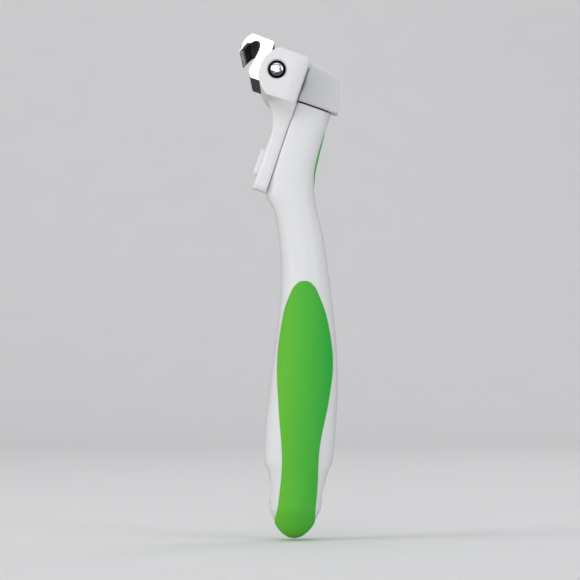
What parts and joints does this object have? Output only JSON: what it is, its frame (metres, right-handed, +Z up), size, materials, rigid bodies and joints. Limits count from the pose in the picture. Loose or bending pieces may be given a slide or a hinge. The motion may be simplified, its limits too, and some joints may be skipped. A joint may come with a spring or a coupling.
{
  "type": "deshedding tool",
  "caption": "Hand-held pet deshedding tool: wide hooked steel comb blade in a T-shaped head that slides onto a curved, soft-gripped handle and is freed by a push button.",
  "frame": {"origin": "centre of the hang hole through the butt of the handle", "axes": "+Z up the handle towards the head, -X the front where the teeth point, Y along the blade"},
  "size_m": [0.0343, 0.1038, 0.1755],
  "materials": {
    "white_plastic": "satin",
    "grey_plastic": "satin",
    "green_soft": "matte",
    "blade_steel": "polished",
    "chrome_screw": "polished",
    "zinc_steel": "satin",
    "spring_steel": "satin",
    "brass_insert": "satin",
    "carrier_alloy": "satin",
    "core_plastic": "matte"
  },
  "bodies": {
    "handle": {"handle_left_shell": "white_plastic", "handle_right_shell": "white_plastic", "handle_screws": "zinc_steel", "soft_grip": "green_soft", "neck_pad": "green_soft", "hang_eyelet": "grey_plastic", "neck_core": "core_plastic", "neck_cap": "grey_plastic", "cap_screw": "zinc_steel", "latch_spring": "spring_steel"},
    "head": {"head_housing": "white_plastic", "head_back_cover": "grey_plastic", "back_cover_screws": "zinc_steel", "end_cap_left": "white_plastic", "end_cap_right": "white_plastic", "end_cap_screws": "chrome_screw", "blade_carrier": "carrier_alloy", "carrier_inserts": "brass_insert", "blade_screws": "zinc_steel", "blade": "blade_steel"},
    "button": {"release_button": "white_plastic"}
  },
  "joints": [
    {"name": "head_slide", "type": "slide", "parent": "handle", "child": "head", "axis": [0.3256, 0, 0.9455], "range_m": [0, 0.04], "stiffness_N_per_m": 150, "deforming": ["latch_spring"]},
    {"name": "button_press", "type": "slide", "parent": "head", "child": "button", "axis": [0.9455, 0, -0.3256], "range_m": [0, 0.0015], "stiffness_N_per_m": 1500, "deforming": ["latch_spring"]}
  ]
}
